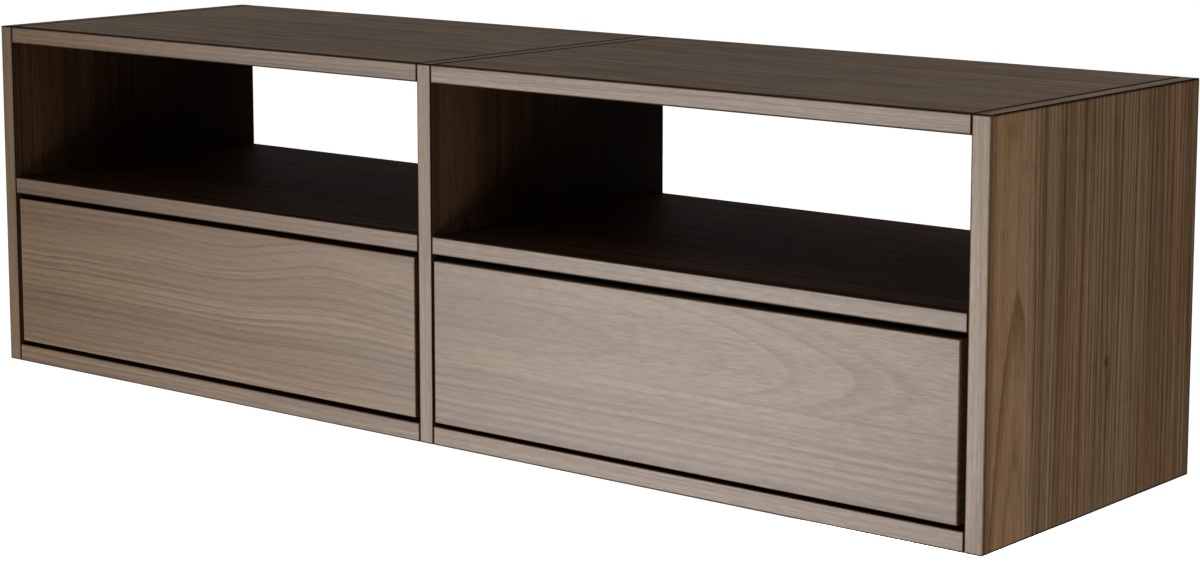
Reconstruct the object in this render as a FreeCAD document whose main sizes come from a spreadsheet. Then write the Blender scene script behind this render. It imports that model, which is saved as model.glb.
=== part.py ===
import FreeCAD, Part
import os
import re
from math import atan2, pi

import Sketcher

# A wall-hung media console: two bays, each with an open niche over an inset drawer.
# Row frame: X to the right, Y towards the wall (wall plane at Y = 0), Z up.
# Z = 0 is the line of the wall screws, so the origin lies on the divider's rear edge.

doc = FreeCAD.newDocument("FloatingConsole")
sheet = doc.addObject("Spreadsheet::Sheet", "Sizes")

# alias: (millimetres, what it is)
SIZES = {
    "width": (1400, "console, outside left to right"),
    "depth": (400, "wall to front face"),
    "height": (412, "console, underside to top"),
    "panel_thickness": (20, "all carcass boards"),
    "lipping_depth": (5, "solid wood lipping on every front edge"),
    "niche_height": (164, "clear height of the open niche"),
    "edge_bevel": (0.8, "eased arrises and the V line at each butt joint"),
    "back_thickness": (8, "back panel behind the drawer"),
    "recess_depth": (20, "wall to the back panel, room for the cleats"),
    "groove_depth": (5, "how far the back panel enters the boards"),
    "groove_play": (0.3, "play of a board in its groove"),
    "tenon_thickness": (6, "loose beech tenon"),
    "tenon_width": (22, "loose beech tenon, front to back"),
    "tenon_length": (30, "loose beech tenon, upright to board"),
    "tenon_bite": (9, "tenon's share in the upright"),
    "tenon_inset": (60, "tenon centre from the front and from the wall"),
    "cleat_thickness": (18, "both halves of the hanging cleat"),
    "cleat_face": (58, "cabinet cleat's height against the back panel"),
    "wall_cleat_height": (70, "wall cleat, foot to tip"),
    "wall_cleat_play": (10, "sideways room at each end of the wall cleat"),
    "wall_hole_diameter": (6.5, "clearance hole for a 6 mm wall screw"),
    "wall_head_diameter": (12.5, "countersink of a wall hole"),
    "wall_hole_pitch": (406, "wall hole to wall hole, one stud spacing"),
    "drawer_reveal": (6, "gap round the drawer front"),
    "front_thickness": (20, "drawer front"),
    "right_drawer_ajar": (3.5, "how far the right drawer stands out, off its latch"),
    "box_wall": (12, "drawer box sides, front and back"),
    "box_height": (130, "drawer box"),
    "box_lift": (10, "box above the foot of the drawer front"),
    "rebate_depth": (6, "how far box front and back enter the sides"),
    "bottom_thickness": (6, "drawer bottom"),
    "bottom_lift": (10, "drawer bottom above the foot of the box"),
    "bottom_groove": (5, "how far the drawer bottom enters the box"),
    "front_screw_length": (25, "through the box front into the drawer front"),
    "front_screw_inset": (100, "front screws from the sides of the box"),
    "slide_height": (45, "ball-bearing slide"),
    "slide_thickness": (12.7, "carcass wall to drawer wall"),
    "slide_gauge": (1, "slide's steel"),
    "slide_gap": (0.8, "air between the slide's nested members"),
    "slide_setback": (4, "slide behind the drawer front"),
    "ball_diameter": (4, "slide's bearing balls"),
    "track_play": (0.05, "ball to track"),
    "lip_angle": (10, "how far a lip wraps below its ball's centre, degrees"),
    "cage_gauge": (0.5, "ball cage's strip"),
    "cage_length": (110, "ball cage"),
    "cage_lift": (0.4, "cage strip above the balls' centres"),
    "cage_reach": (1.2, "cage strip past the balls' centres"),
    "cage_mouth": (3, "pocket's mouth, narrower than a ball"),
    "ball_pitch": (27, "ball to ball along the cage"),
    "screw_diameter": (3.5, "countersunk wood screw"),
    "screw_head_diameter": (6.4, "countersunk wood screw"),
    "latch_room": (48, "drawer box to back panel"),
    "push_travel": (3, "push that frees the latch"),
    "strike_gap": (0.5, "air left between plunger and drawer after the push"),
    "latch_flange": (3, "latch foot's thickness"),
    "latch_width": (16, "latch foot"),
    "latch_height": (48, "latch foot"),
    "latch_clip": (5, "clipped corners of the latch foot"),
    "latch_barrel_diameter": (13, "latch barrel"),
    "latch_floor": (4, "closed end of the barrel"),
    "plunger_diameter": (8, "latch plunger"),
    "plunger_play": (0.05, "plunger in its barrel"),
    "plunger_show": (4.5, "plunger in front of the barrel"),
    "spring_room": (6.5, "behind the plunger"),
}

BALLS_PER_ROW = 4

for row, (alias, (size, note)) in enumerate(SIZES.items(), 1):
    sheet.set(f"A{row}", alias)
    sheet.set(f"B{row}", str(size))
    sheet.set(f"C{row}", note)
    sheet.setAlias(f"B{row}", alias)
doc.recompute()

# Heights are above the underside, and UNDERSIDE brings them into the row frame.
BAY_WIDTH = "((width - 3*panel_thickness)/2)"
SHELF_UNDER = "(height - 2*panel_thickness - niche_height)"
BACK_FACE = "(recess_depth + back_thickness)"
WALL_CLEAT_TIP = f"({SHELF_UNDER} - cleat_face - (recess_depth - cleat_thickness))"
WALL_SCREW_LINE = f"({WALL_CLEAT_TIP} - (wall_cleat_height + cleat_thickness)/2)"
UNDERSIDE = f"(-{WALL_SCREW_LINE})"
PANEL_DEPTH = "(depth - lipping_depth)"

BOX_DEPTH = f"(depth - front_thickness - latch_room - {BACK_FACE})"
BOX_WIDTH = f"({BAY_WIDTH} - 2*slide_thickness)"
BOX_FOOT = "(panel_thickness + drawer_reveal + box_lift)"
BOX_FRONT_Y = "(-depth + front_thickness)"
SLIDE_LINE = f"({BOX_FOOT} + box_height/2)"
SLIDE_Y = f"({BOX_FRONT_Y} + slide_setback)"
SLIDE_LENGTH = f"({BOX_DEPTH} - slide_setback)"

LATCH_LENGTH = "(latch_room - push_travel - strike_gap - plunger_show)"
PLUNGER_LENGTH = f"({LATCH_LENGTH} + plunger_show - latch_floor - spring_room)"

BAYS = {
    "left": {"low": "(-width/2 + panel_thickness)", "ajar": "0"},
    "right": {"low": "(panel_thickness/2)", "ajar": "right_drawer_ajar"},
}

nodes = {}


def bound(formula):
    # the same formula with each alias read from the sheet
    def cell(match):
        word = match.group()
        return "Sizes." + word if word in SIZES else word
    return re.sub(r"[a-z][a-z_]*", cell, str(formula))


def amount(formula):
    return float(sheet.evalExpression(bound(formula)))


def place(thing, x, y, z):
    for axis, formula in zip("xyz", (x, y, z)):
        thing.setExpression("Placement.Base." + axis, bound(formula))


def new_body(name, x, y, z):
    body = doc.addObject("PartDesign::Body", name)
    body.Label = name
    place(body, x, y, z)
    return body


def sketch_on(body, plane, offset="0"):
    # offset is along the row axis that the plane faces
    sketch = body.newObject("Sketcher::SketchObject", body.Name + "_sketch")
    role = plane + "_Plane"
    support = next(part for part in body.Origin.OriginFeatures if part.Role == role)
    sketch.AttachmentSupport = [(support, "")]
    sketch.MapMode = "FlatFace"
    along = f"-({offset})" if plane == "XZ" else offset
    sketch.setExpression("AttachmentOffset.Base.z", bound(along))
    return sketch


def constrain(sketch, formula, kind, *where):
    index = sketch.addConstraint(Sketcher.Constraint(kind, *where, amount(formula)))
    sketch.setExpression(f"Constraints[{index}]", bound(formula))


def pin(sketch, edge, end, u, v):
    constrain(sketch, u, "DistanceX", -1, 1, edge, end)
    constrain(sketch, v, "DistanceY", -1, 1, edge, end)


def arc_between(start, finish, radius, side):
    # side 1: the centre lies left of the way from start to finish; -1: right
    chord = finish - start
    middle = (start + finish) * 0.5
    across = FreeCAD.Vector(-chord.y, chord.x, 0).normalize()
    rise = max(radius ** 2 - (chord.Length / 2) ** 2, 0) ** 0.5
    centre = middle + across * (side * rise)
    first, last = (start, finish) if side > 0 else (finish, start)
    begin = atan2(first.y - centre.y, first.x - centre.x)
    finish_angle = atan2(last.y - centre.y, last.x - centre.x)
    if finish_angle <= begin:
        finish_angle += 2 * pi
    circle = Part.Circle(centre, FreeCAD.Vector(0, 0, 1), radius)
    return Part.ArcOfCircle(circle, begin, finish_angle)


def outline(sketch, corners):
    # corners: (u, v), or (u, v, radius, side) where an arc leaves the corner
    spots = [FreeCAD.Vector(amount(corner[0]), amount(corner[1]), 0) for corner in corners]
    ends = []
    for index, corner in enumerate(corners):
        start, finish = spots[index], spots[(index + 1) % len(spots)]
        if len(corner) == 2:
            edge = sketch.addGeometry(Part.LineSegment(start, finish), False)
            ends.append((edge, 1, 2))
        else:
            radius, side = corner[2:]
            arc = arc_between(start, finish, amount(radius), side)
            edge = sketch.addGeometry(arc, False)
            ends.append((edge, 1, 2) if side > 0 else (edge, 2, 1))
    for index, (edge, first, last) in enumerate(ends):
        next_edge, next_first, _ = ends[(index + 1) % len(ends)]
        sketch.addConstraint(Sketcher.Constraint("Coincident", edge, last, next_edge, next_first))
        pin(sketch, edge, first, corners[index][0], corners[index][1])
        if len(corners[index]) == 4:
            constrain(sketch, corners[index][2], "Radius", edge)


def rectangle(sketch, u, v, du, dv):
    right, top = f"({u}) + ({du})", f"({v}) + ({dv})"
    outline(sketch, [(u, v), (right, v), (right, top), (u, top)])


def ring(sketch, u, v, diameter):
    circle = Part.Circle(FreeCAD.Vector(amount(u), amount(v), 0), FreeCAD.Vector(0, 0, 1),
                         amount(diameter) / 2)
    edge = sketch.addGeometry(circle, False)
    pin(sketch, edge, 3, u, v)
    constrain(sketch, f"({diameter})/2", "Radius", edge)


def pad(body, sketch, length, reverse=False):
    feature = body.newObject("PartDesign::Pad", body.Name + "_pad")
    feature.Profile = sketch
    feature.Reversed = reverse
    feature.setExpression("Length", bound(length))
    doc.recompute()


def pocket(body, sketch, depth, reverse=False):
    before = body.Shape.Volume
    feature = body.newObject("PartDesign::Pocket", body.Name + "_pocket")
    feature.Profile = sketch
    feature.Reversed = reverse
    feature.setExpression("Length", bound(depth))
    doc.recompute()
    if body.Shape.Volume >= before:
        raise RuntimeError(f"{feature.Name} cuts nothing")


def bevel(body, wanted=lambda edge: True):
    # eases the arrises that wanted picks
    base = body.Tip
    names = [f"Edge{number}" for number, edge in enumerate(base.Shape.Edges, 1) if wanted(edge)]
    feature = body.newObject("PartDesign::Chamfer", body.Name + "_bevel")
    feature.Base = (base, names)
    feature.setExpression("Size", bound("edge_bevel"))
    doc.recompute()


def slab(name, low, size):
    body = new_body(name, *low)
    sketch = sketch_on(body, "XY")
    rectangle(sketch, "0", "0", size[0], size[1])
    pad(body, sketch, size[2])
    return body


def off_plane(axis, level):
    # picks the edges that don't lie wholly in one glued face
    limit = amount(level)

    def wanted(edge):
        box = edge.BoundBox
        low, high = getattr(box, axis + "Min"), getattr(box, axis + "Max")
        return abs(low - limit) > 1e-6 or abs(high - limit) > 1e-6
    return wanted


def gather(name, pieces):
    group = doc.addObject("Part::Compound", name)
    group.Links = pieces
    return group


def keep(name, thing, tools=()):
    # thing becomes the node called name, less the tools that sit in it
    if tools:
        thing.Label = name + "_blank"
        cut = doc.addObject("Part::Cut", name + "_cut")
        cut.Base = thing
        cut.Tool = gather(name + "_tools", list(tools))
        thing = cut
    thing.Label = name
    nodes[name] = thing


TURNS = {
    "+X": FreeCAD.Rotation(FreeCAD.Vector(0, 1, 0), 90),
    "-X": FreeCAD.Rotation(FreeCAD.Vector(0, 1, 0), -90),
    "+Y": FreeCAD.Rotation(FreeCAD.Vector(1, 0, 0), -90),
    "-Y": FreeCAD.Rotation(FreeCAD.Vector(1, 0, 0), 90),
}


def rod(name, where, heading, diameter, length):
    cylinder = doc.addObject("Part::Cylinder", name)
    cylinder.Placement.Rotation = TURNS[heading]
    cylinder.setExpression("Radius", bound(f"({diameter})/2"))
    cylinder.setExpression("Height", bound(length))
    place(cylinder, *where)
    return cylinder


def screw(name, where, heading, length, diameter="screw_diameter", head="screw_head_diameter"):
    # countersunk at 90 degrees; where is the centre of its flat head
    shank = rod(name + "_shank", where, heading, diameter, length)
    cone = doc.addObject("Part::Cone", name + "_cone")
    cone.Placement.Rotation = TURNS[heading]
    cone.setExpression("Radius1", bound(f"({head})/2"))
    cone.setExpression("Radius2", bound(f"({diameter})/2"))
    cone.setExpression("Height", bound(f"(({head}) - ({diameter}))/2"))
    place(cone, *where)
    whole = doc.addObject("Part::Fuse", name)
    whole.Base = cone
    whole.Tool = shank
    return whole


def height_of(level):
    return {
        "bottom": "0",
        "shelf": SHELF_UNDER,
        "top": "(height - panel_thickness)",
    }[level]


# ---- fixings that sit in more than one piece ----

def make_tenons():
    # two loose tenons in each end of every horizontal board
    tenons = {}
    for bay, facts in BAYS.items():
        for level in ("bottom", "shelf", "top"):
            z = f"{UNDERSIDE} + {height_of(level)} + (panel_thickness - tenon_thickness)/2"
            starts = {
                "left": f"{facts['low']} - tenon_bite",
                "right": f"{facts['low']} + {BAY_WIDTH} + tenon_bite - tenon_length",
            }
            for end, x in starts.items():
                pair = []
                for spot, y in (("front", "-depth + tenon_inset"), ("rear", "-tenon_inset")):
                    tenon = doc.addObject("Part::Box", f"{bay}_{level}_{end}_{spot}_tenon")
                    tenon.setExpression("Length", bound("tenon_length"))
                    tenon.setExpression("Width", bound("tenon_width"))
                    tenon.setExpression("Height", bound("tenon_thickness"))
                    place(tenon, x, f"{y} - tenon_width/2", z)
                    pair.append(tenon)
                tenons[bay, level, end] = pair
    return tenons


def make_front_screws(bay):
    # from inside the box, through the box front into the drawer front
    box_low = f"{BAYS[bay]['low']} + slide_thickness"
    y = f"{BOX_FRONT_Y} + box_wall - {BAYS[bay]['ajar']}"
    return [screw(f"{bay}_{hand}_front_screw", (x, y, f"{UNDERSIDE} + {SLIDE_LINE}"),
                  "-Y", "front_screw_length")
            for hand, x in (("left", f"{box_low} + front_screw_inset"),
                            ("right", f"{box_low} + {BOX_WIDTH} - front_screw_inset"))]


# ---- carcass ----

def make_upright(name, low_x, inner_faces, tools):
    # inner_faces: "high" where a bay lies to the right, "low" where one lies to the left
    body = slab(name, (low_x, f"-{PANEL_DEPTH}", UNDERSIDE),
                ("panel_thickness", PANEL_DEPTH, "height"))
    bevel(body, off_plane("Y", "0"))
    for face in inner_faces:
        sketch = sketch_on(body, "YZ", "panel_thickness" if face == "high" else "0")
        rectangle(sketch, f"{PANEL_DEPTH} - {BACK_FACE} - groove_play",
                  "panel_thickness - groove_depth",
                  "back_thickness + groove_play",
                  f"{SHELF_UNDER} - panel_thickness + 2*groove_depth")
        pocket(body, sketch, "groove_depth", reverse=face == "low")
    keep(name, body, tools)


def make_lipping(name, low_x, height, length, upright):
    # glued on a board's front edge; every arris is eased but those of the glue line
    rise = f"{UNDERSIDE} + {height}"
    size = ("panel_thickness", "lipping_depth", length)
    if not upright:
        size = (length, "lipping_depth", "panel_thickness")
    body = slab(name, (low_x, "-depth", rise), size)
    bevel(body, off_plane("Y", "lipping_depth"))
    keep(name, body)


def make_level(bay, level, tenons):
    # a horizontal board between two uprights; the back panel stands in a groove of the
    # bottom and enters another under the shelf
    name = f"{bay}_{level}" if level == "shelf" else f"{bay}_{level}_panel"
    body = slab(name, (BAYS[bay]["low"], f"-{PANEL_DEPTH}", f"{UNDERSIDE} + {height_of(level)}"),
                (BAY_WIDTH, PANEL_DEPTH, "panel_thickness"))
    bevel(body, off_plane("Y", "0"))
    if level != "top":
        sketch = sketch_on(body, "XY", "panel_thickness" if level == "bottom" else "0")
        rectangle(sketch, "0", f"{PANEL_DEPTH} - {BACK_FACE} - groove_play",
                  BAY_WIDTH, "back_thickness + groove_play")
        pocket(body, sketch, "groove_depth", reverse=level == "shelf")
    tools = tenons[bay, level, "left"] + tenons[bay, level, "right"]
    keep(name, body, tools)
    make_lipping(f"{bay}_{level}_lipping", BAYS[bay]["low"], height_of(level), BAY_WIDTH, False)


def make_back_panel(bay):
    # stands on the floor of its groove, with play at the head and the sides
    body = slab(f"{bay}_back_panel",
                (f"{BAYS[bay]['low']} - groove_depth + groove_play", f"-{BACK_FACE}",
                 f"{UNDERSIDE} + panel_thickness - groove_depth"),
                (f"{BAY_WIDTH} + 2*groove_depth - 2*groove_play", "back_thickness",
                 f"{SHELF_UNDER} - panel_thickness + 2*groove_depth - groove_play"))
    keep(f"{bay}_back_panel", body)


def make_cabinet_cleat(bay):
    # under the shelf and against the back panel; its foot is cut at 45 degrees and hooks
    # down behind the wall cleat
    name = f"{bay}_cabinet_cleat"
    body = new_body(name, BAYS[bay]["low"], "0", UNDERSIDE)
    sketch = sketch_on(body, "YZ")
    rear = "-recess_depth + cleat_thickness"
    foot = f"{SHELF_UNDER} - cleat_face"
    outline(sketch, [("-recess_depth", SHELF_UNDER), ("-recess_depth", foot),
                     (rear, f"{foot} - cleat_thickness"), (rear, SHELF_UNDER)])
    pad(body, sketch, BAY_WIDTH)
    keep(name, body)


def make_wall_cleat(bay):
    # screwed to the wall; its head slopes down to the wall at 45 degrees
    name = f"{bay}_wall_cleat"
    low = f"{BAYS[bay]['low']} + wall_cleat_play"
    body = new_body(name, low, "0", UNDERSIDE)
    sketch = sketch_on(body, "YZ")
    foot = f"{WALL_CLEAT_TIP} - wall_cleat_height"
    outline(sketch, [("-cleat_thickness", foot), ("0", foot),
                     ("0", f"{WALL_CLEAT_TIP} - cleat_thickness"),
                     ("-cleat_thickness", WALL_CLEAT_TIP)])
    pad(body, sketch, f"{BAY_WIDTH} - 2*wall_cleat_play")
    centre = f"{BAYS[bay]['low']} + {BAY_WIDTH}/2"
    holes = [screw(f"{bay}_{hand}_wall_hole",
                   (f"{centre} + ({side})*wall_hole_pitch/2", "-cleat_thickness", "0"),
                   "+Y", "cleat_thickness", "wall_hole_diameter", "wall_head_diameter")
             for hand, side in (("left", -1), ("right", 1))]
    keep(name, body, holes)


# ---- ball-bearing slides ----
# Section of a slide: u runs from the carcass wall to the drawer wall, v is up from the
# slide's centre line. Each member is rolled from one strip, with its corners pressed at
# 45 degrees. A ball runs between the lip that wraps over it from outside and the trough
# that cups it from below.

TRACK = "(ball_diameter/2 + track_play)"
WRAP = f"({TRACK} + slide_gauge)"
MIDDLE_WEB = "(slide_gauge + slide_gap)"
OUTER_BALL_U = f"({MIDDLE_WEB} + 2*slide_gauge + {TRACK})"
OUTER_BALL_V = f"(slide_height/2 - {WRAP})"
INNER_BALL_U = f"(slide_thickness - slide_gauge - slide_gap - {WRAP})"
INNER_BALL_V = f"({OUTER_BALL_V} - {TRACK} - {WRAP})"


def slide_sides(bay):
    # each slide of a bay: its hand, the wall that carries it, and which way it faces
    low = BAYS[bay]["low"]
    return (("left", low, 1), ("right", f"({low} + {BAY_WIDTH})", -1))


def lip_over(u, v):
    # from the strip's outside over the ball, round the lip's edge and back inside
    reach, drop = "cos(lip_angle)", "sin(lip_angle)"
    return [
        (u, f"{v} + {WRAP}", WRAP, -1),
        (f"{u} + {WRAP}*{reach}", f"{v} - {WRAP}*{drop}"),
        (f"{u} + {TRACK}*{reach}", f"{v} - {TRACK}*{drop}", TRACK, 1),
        (u, f"{v} + {TRACK}"),
    ]


def outer_member_half():
    shoulder = "(slide_height/2 - 2*slide_gauge)"
    return [
        ("0", shoulder),
        ("2*slide_gauge", "slide_height/2"),
        *lip_over(OUTER_BALL_U, OUTER_BALL_V),
        ("2*slide_gauge", f"{shoulder} + slide_gauge"),
        ("slide_gauge", shoulder),
    ]


def middle_member_half():
    # the strip is folded back on itself at the head of the web to cup the outer ball
    web = f"({MIDDLE_WEB} + slide_gauge)"
    under_flange = f"({INNER_BALL_V} + {TRACK})"
    return [
        (MIDDLE_WEB, f"{OUTER_BALL_V} - slide_gauge"),
        (web, OUTER_BALL_V),
        (f"{OUTER_BALL_U} - {TRACK}", OUTER_BALL_V, TRACK, 1),
        (OUTER_BALL_U, f"{OUTER_BALL_V} - {TRACK}"),
        *lip_over(INNER_BALL_U, INNER_BALL_V),
        (f"{web} + slide_gauge", under_flange),
        (web, f"{under_flange} - slide_gauge"),
    ]


def inner_member_half():
    floor = f"({INNER_BALL_V} - {TRACK})"
    heel = "(slide_thickness - 2*slide_gauge)"
    return [
        ("slide_thickness - slide_gauge", f"{floor} - 2*slide_gauge"),
        (heel, f"{floor} - slide_gauge"),
        (INNER_BALL_U, f"{floor} - slide_gauge", WRAP, -1),
        (f"{INNER_BALL_U} - {WRAP}", INNER_BALL_V),
        (f"{INNER_BALL_U} - {TRACK}", INNER_BALL_V, TRACK, 1),
        (INNER_BALL_U, floor),
        (heel, floor),
        ("slide_thickness", f"{floor} - 2*slide_gauge"),
    ]


def whole_section(half, sign):
    # the lower half is the upper one turned over; sign -1 faces the slide the other way
    lower = []
    for index in range(len(half) - 1, -1, -1):
        u, v = half[index][:2]
        arc = half[index - 1][2:] if index else ()
        lower.append((u, f"-({v})", *arc))
    turned = []
    for corner in half + lower:
        u, v = f"{sign}*({corner[0]})", corner[1]
        arc = (corner[2], sign * corner[3]) if len(corner) == 4 else ()
        turned.append((u, v, *arc))
    return turned


def make_member(bay, hand, wall, sign, member, half, share):
    # share is the part of the drawer's travel that this member makes
    name = f"{bay}_drawer_{hand}_slide_{member}_member"
    y = f"{SLIDE_Y} - {share}*{BAYS[bay]['ajar']}"
    body = new_body(name, wall, y, f"{UNDERSIDE} + {SLIDE_LINE}")
    sketch = sketch_on(body, "XZ")
    outline(sketch, whole_section(half, sign))
    pad(body, sketch, SLIDE_LENGTH, reverse=True)
    keep(name, body)


def make_cage(bay, hand, wall, sign, row_name, ball_u, ball_v, web_u, share):
    # a thin channel whose flanges space the balls of both rows; each pocket is open at
    # the flange's edge, and its mouth is narrower than a ball
    body = new_body(f"{bay}_{hand}_{row_name}_cage", wall,
                    f"{SLIDE_Y} + ({SLIDE_LENGTH} - cage_length)/2 - {share}*{BAYS[bay]['ajar']}",
                    f"{UNDERSIDE} + {SLIDE_LINE}")
    sketch = sketch_on(body, "XZ")
    under = f"({ball_v} + cage_lift)"
    over = f"({under} + cage_gauge)"
    edge = f"({ball_u} + cage_reach)"
    near, far = f"({web_u} - cage_gauge/2)", f"({web_u} + cage_gauge/2)"
    corners = [(near, over), (edge, over), (edge, under), (far, under)]
    corners += [(u, f"-{v}") for u, v in reversed(corners)]
    outline(sketch, [(f"{sign}*{u}", v) for u, v in corners])
    pad(body, sketch, "cage_length", reverse=True)
    pockets = sketch_on(body, "XY", over)
    for number in range(BALLS_PER_ROW):
        along = f"(cage_length/2 + ({number - (BALLS_PER_ROW - 1)/2})*ball_pitch)"
        root = f"{sign}*({ball_u} - {TRACK})"
        mouth = f"{sign}*{edge}"
        outline(pockets, [(root, f"{along} - {TRACK}"), (mouth, f"{along} - cage_mouth/2"),
                          (mouth, f"{along} + cage_mouth/2"), (root, f"{along} + {TRACK}")])
    pocket(body, pockets, f"2*{over}")
    return body


def make_slides(bay):
    members = (("outer", outer_member_half(), 0), ("middle", middle_member_half(), 0.5),
               ("inner", inner_member_half(), 1))
    outer_web = f"(({MIDDLE_WEB} + slide_gauge)/2)"
    inner_web = f"(({MIDDLE_WEB} + slide_gauge + {INNER_BALL_U} - {WRAP})/2)"
    cages = (("outer", OUTER_BALL_U, OUTER_BALL_V, outer_web, 0.25),
             ("inner", INNER_BALL_U, INNER_BALL_V, inner_web, 0.75))
    for hand, wall, sign in slide_sides(bay):
        for member, half, share in members:
            make_member(bay, hand, wall, sign, member, half, share)
    for row_name, ball_u, ball_v, web_u, share in cages:
        pair = [make_cage(bay, hand, wall, sign, row_name, ball_u, ball_v, web_u, share)
                for hand, wall, sign in slide_sides(bay)]
        name = f"{bay}_drawer_{row_name}_ball_cages"
        keep(name, gather(name, pair))


# ---- drawers ----

def make_drawer(bay, front_screws):
    low, ajar = BAYS[bay]["low"], BAYS[bay]["ajar"]
    box_low = f"({low} + slide_thickness)"
    box_z = f"{UNDERSIDE} + {BOX_FOOT}"
    front_y = f"({BOX_FRONT_Y} - {ajar})"

    front = slab(f"{bay}_drawer_front",
                 (f"{low} + drawer_reveal", f"-depth - {ajar}",
                  f"{UNDERSIDE} + panel_thickness + drawer_reveal"),
                 (f"{BAY_WIDTH} - 2*drawer_reveal", "front_thickness",
                  f"{SHELF_UNDER} - panel_thickness - 2*drawer_reveal"))
    bevel(front)
    keep(f"{bay}_drawer_front", front, front_screws)

    # the box front and back enter rebates in the sides, and all four hold the bottom
    end_low = f"{box_low} + box_wall - rebate_depth"
    end_width = f"({BOX_WIDTH} - 2*box_wall + 2*rebate_depth)"
    ends = (("box_front", front_y, "box_wall", front_screws),
            ("back", f"{front_y} + {BOX_DEPTH} - box_wall", "0", ()))
    for piece, y, inner_face, tools in ends:
        name = f"{bay}_drawer_{piece}"
        body = slab(name, (end_low, y, box_z), (end_width, "box_wall", "box_height"))
        groove = sketch_on(body, "XZ", inner_face)
        rectangle(groove, "rebate_depth - bottom_groove", "bottom_lift",
                  f"{end_width} - 2*(rebate_depth - bottom_groove)",
                  "bottom_thickness + groove_play")
        pocket(body, groove, "bottom_groove", reverse=piece == "box_front")
        keep(name, body, tools)

    for hand, x in (("left", box_low), ("right", f"{box_low} + {BOX_WIDTH} - box_wall")):
        name = f"{bay}_drawer_{hand}_side"
        body = slab(name, (x, front_y, box_z), ("box_wall", BOX_DEPTH, "box_height"))
        face, reverse = ("box_wall", False) if hand == "left" else ("0", True)
        rebates = sketch_on(body, "YZ", face)
        rectangle(rebates, "0", "0", "box_wall", "box_height")
        rectangle(rebates, f"{BOX_DEPTH} - box_wall", "0", "box_wall", "box_height")
        pocket(body, rebates, "rebate_depth", reverse)
        groove = sketch_on(body, "YZ", face)
        rectangle(groove, "box_wall - bottom_groove", "bottom_lift",
                  f"{BOX_DEPTH} - 2*(box_wall - bottom_groove)",
                  "bottom_thickness + groove_play")
        pocket(body, groove, "bottom_groove", reverse)
        keep(name, body)

    enter = "(box_wall - bottom_groove + groove_play)"
    bottom = slab(f"{bay}_drawer_bottom",
                  (f"{box_low} + {enter}", f"{front_y} + {enter}", f"{box_z} + bottom_lift"),
                  (f"{BOX_WIDTH} - 2*{enter}", f"{BOX_DEPTH} - 2*{enter}", "bottom_thickness"))
    keep(f"{bay}_drawer_bottom", bottom)


# ---- push latches ----

def make_latch(bay):
    centre = f"{BAYS[bay]['low']} + {BAY_WIDTH}/2"
    line = f"{UNDERSIDE} + {SLIDE_LINE}"
    name = f"{bay}_latch_housing"
    body = new_body(name, centre, f"-{BACK_FACE}", line)
    foot = sketch_on(body, "XZ")
    wide, tall = "latch_width/2", "latch_height/2"
    inner_wide, inner_tall = f"({wide} - latch_clip)", f"({tall} - latch_clip)"
    outline(foot, [(f"-{inner_wide}", f"-{tall}"), (inner_wide, f"-{tall}"),
                   (wide, f"-{inner_tall}"), (wide, inner_tall),
                   (inner_wide, tall), (f"-{inner_wide}", tall),
                   (f"-{wide}", inner_tall), (f"-{wide}", f"-{inner_tall}")])
    pad(body, foot, "latch_flange")
    barrel = sketch_on(body, "XZ")
    ring(barrel, "0", "0", "latch_barrel_diameter")
    pad(body, barrel, LATCH_LENGTH)
    bore = sketch_on(body, "XZ", f"-{LATCH_LENGTH}")
    ring(bore, "0", "0", "plunger_diameter + 2*plunger_play")
    pocket(body, bore, f"{LATCH_LENGTH} - latch_floor")
    keep(name, body)

    name = f"{bay}_latch_plunger"
    tip = f"-{BACK_FACE} - {LATCH_LENGTH} - plunger_show"
    body = new_body(name, centre, tip, line)
    shaft = sketch_on(body, "XZ")
    ring(shaft, "0", "0", "plunger_diameter")
    pad(body, shaft, PLUNGER_LENGTH, reverse=True)
    keep(name, body)


# ---- assembly ----

tenons = make_tenons()
front_screws = {bay: make_front_screws(bay) for bay in BAYS}

UPRIGHTS = (
    ("left_side", "-width/2", ("high",), (("left", "left"),)),
    ("centre_divider", "-panel_thickness/2", ("low", "high"), (("left", "right"), ("right", "left"))),
    ("right_side", "width/2 - panel_thickness", ("low",), (("right", "right"),)),
)
for name, low_x, inner_faces, ends_met in UPRIGHTS:
    tools = []
    for bay, end in ends_met:
        for level in ("bottom", "shelf", "top"):
            tools += tenons[bay, level, end]
    panel_name = name if name == "centre_divider" else name + "_panel"
    make_upright(panel_name, low_x, inner_faces, tools)
    make_lipping(name + "_lipping", low_x, "0", "height", True)

for bay in BAYS:
    for level in ("bottom", "shelf", "top"):
        make_level(bay, level, tenons)
    make_back_panel(bay)
    make_cabinet_cleat(bay)
    make_wall_cleat(bay)
    make_slides(bay)
    make_drawer(bay, front_screws[bay])
    make_latch(bay)
    name = f"{bay}_drawer_front_screws"
    keep(name, gather(name, front_screws[bay]))
keep("carcass_tenons", gather("carcass_tenons", [tenon for pair in tenons.values() for tenon in pair]))

doc.recompute()
for thing in doc.Objects:
    if {"Invalid", "Error"} & set(thing.State):
        raise RuntimeError(f"{thing.Label} failed: {thing.State}")
for name, thing in nodes.items():
    if thing.Label != name:
        raise RuntimeError(f"{name} is labelled {thing.Label}")
    if thing.Shape.isNull() or not thing.Shape.isValid():
        raise RuntimeError(f"{name} has no valid shape")

os.makedirs("parts", exist_ok=True)
for name, thing in nodes.items():
    thing.Shape.exportStep(f"parts/{name}.step")
print(f"{len(nodes)} nodes written")
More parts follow.
